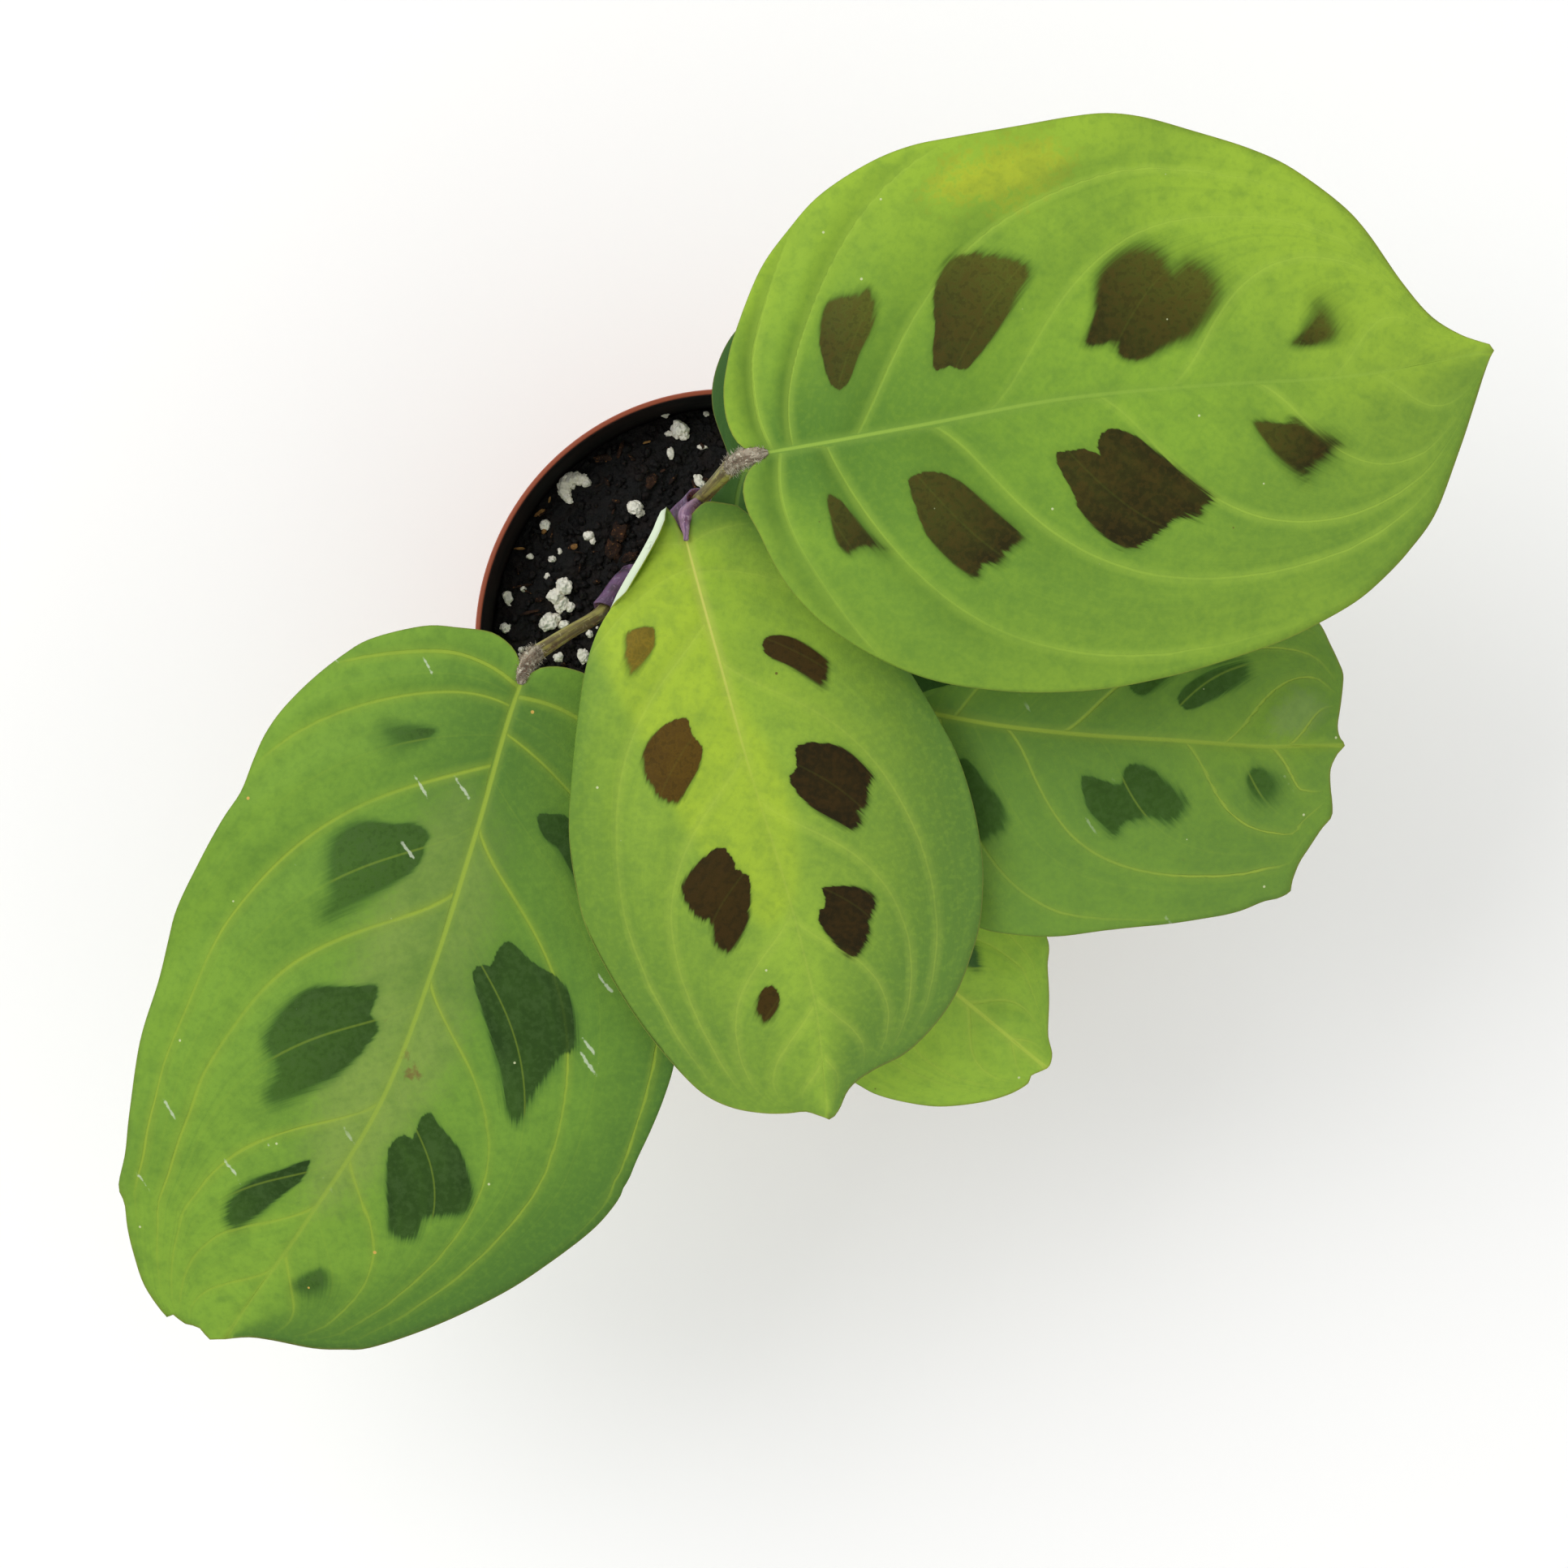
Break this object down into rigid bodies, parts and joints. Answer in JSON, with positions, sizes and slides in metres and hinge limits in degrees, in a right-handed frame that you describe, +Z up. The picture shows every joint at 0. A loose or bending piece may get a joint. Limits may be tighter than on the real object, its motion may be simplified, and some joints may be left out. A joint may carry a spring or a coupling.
{
  "type": "potted prayer plant",
  "caption": "Low prayer plant with broad oval leaves, dark blotched between the veins, growing from dark potting mix in a small round terracotta-coloured nursery pot.",
  "frame": {"origin": "middle of the pot's flat underside, on the surface it stands on", "axes": "+Z up out of the pot, +X towards the largest leaf's tip side, +Y away from the lower leaves"},
  "size_m": [0.2105, 0.1883, 0.1273],
  "materials": {
    "pot_plastic": "satin",
    "potting_mix": "matte",
    "shoot_tissue": "satin",
    "petiole_tissue": "satin",
    "pulvinus_tissue": "matte",
    "pulvinus_purple": "satin",
    "leaf_bright": "satin",
    "leaf_mid": "satin"
  },
  "bodies": {
    "root": {"pot": "pot_plastic", "soil": "potting_mix", "shoot_left": "shoot_tissue", "shoot_right": "shoot_tissue", "petiole_upper_right": "petiole_tissue", "petiole_lower_left": "petiole_tissue", "petiole_right": "petiole_tissue", "petiole_bottom": "petiole_tissue", "petiole_under": "petiole_tissue", "pulvinus_upper_right": "pulvinus_tissue", "pulvinus_lower_left": "pulvinus_tissue", "pulvinus_right": "pulvinus_tissue", "pulvinus_bottom": "pulvinus_tissue", "pulvinus_under": "pulvinus_tissue", "pulvinus_centre": "pulvinus_purple", "blade_upper_right": "leaf_bright", "blade_centre": "leaf_bright", "blade_lower_left": "leaf_mid", "blade_right": "leaf_mid", "blade_bottom": "leaf_mid", "blade_under": "leaf_mid"}
  },
  "joints": []
}
